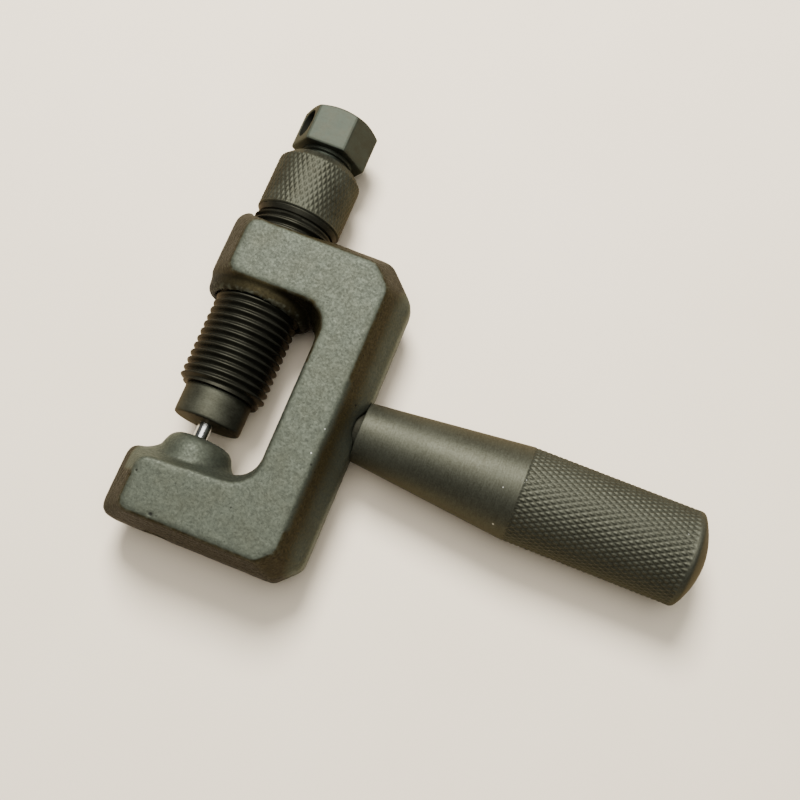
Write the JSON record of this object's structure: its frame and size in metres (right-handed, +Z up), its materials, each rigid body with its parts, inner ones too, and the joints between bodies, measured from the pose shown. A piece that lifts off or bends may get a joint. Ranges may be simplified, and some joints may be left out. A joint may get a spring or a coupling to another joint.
{
  "type": "chain tool",
  "caption": "Forged C-frame chain breaker with a hollow clamp screw, a hex-headed push bolt driving a pin onto an anvil, and a knurled side handle.",
  "frame": {"origin": "centre of the anvil face, on the screw axis", "axes": "+X along the handle, away from the frame; +Y along the screws, from the anvil to the hex head; +Z up as the tool lies flat"},
  "size_m": [0.1389, 0.1181, 0.026],
  "materials": {
    "forged_steel": "grey-green phosphated drop forging, grainy",
    "screw_steel": "blackened turned and knurled steel",
    "spring_steel": "plain spring steel",
    "bolt_steel": "blackened steel, satin",
    "ball_steel": "polished bearing steel",
    "pin_steel": "ground bright tool steel",
    "handle_steel": "phosphated steel, knurled grip",
    "stud_steel": "plain blackened steel"
  },
  "bodies": {
    "body": {"frame": "forged_steel", "handle": "handle_steel", "handle_stud": "stud_steel"},
    "nose": {"nose_sleeve": "screw_steel"},
    "screw": {"clamp_screw": "screw_steel", "nose_ring": "spring_steel"},
    "pin": {"drive_pin": "pin_steel"},
    "bolt": {"push_bolt": "bolt_steel", "pin_ring": "spring_steel", "thrust_ball": "ball_steel"}
  },
  "joints": [
    {"name": "clamp_travel", "type": "slide", "parent": "body", "child": "nose", "axis": [0, -1, 0], "range_m": [-0.018, 0.001]},
    {"name": "clamp_turn", "type": "hinge", "parent": "nose", "child": "screw", "pos_m": [0, 0.03, 0], "axis": [0, -1, 0], "range_deg": [-3240, 180]},
    {"name": "pin_travel", "type": "slide", "parent": "screw", "child": "pin", "axis": [0, -1, 0], "range_m": [-0.0105, 0.0024]},
    {"name": "bolt_turn", "type": "hinge", "parent": "pin", "child": "bolt", "pos_m": [0, 0.06, 0], "axis": [0, -1, 0], "range_deg": [-2520, 576]}
  ],
  "couplings": [
    {"joint": "clamp_travel", "follows": "clamp_turn", "m_per_rad": 0.00031831},
    {"joint": "pin_travel", "follows": "bolt_turn", "m_per_rad": 0.00023873}
  ]
}
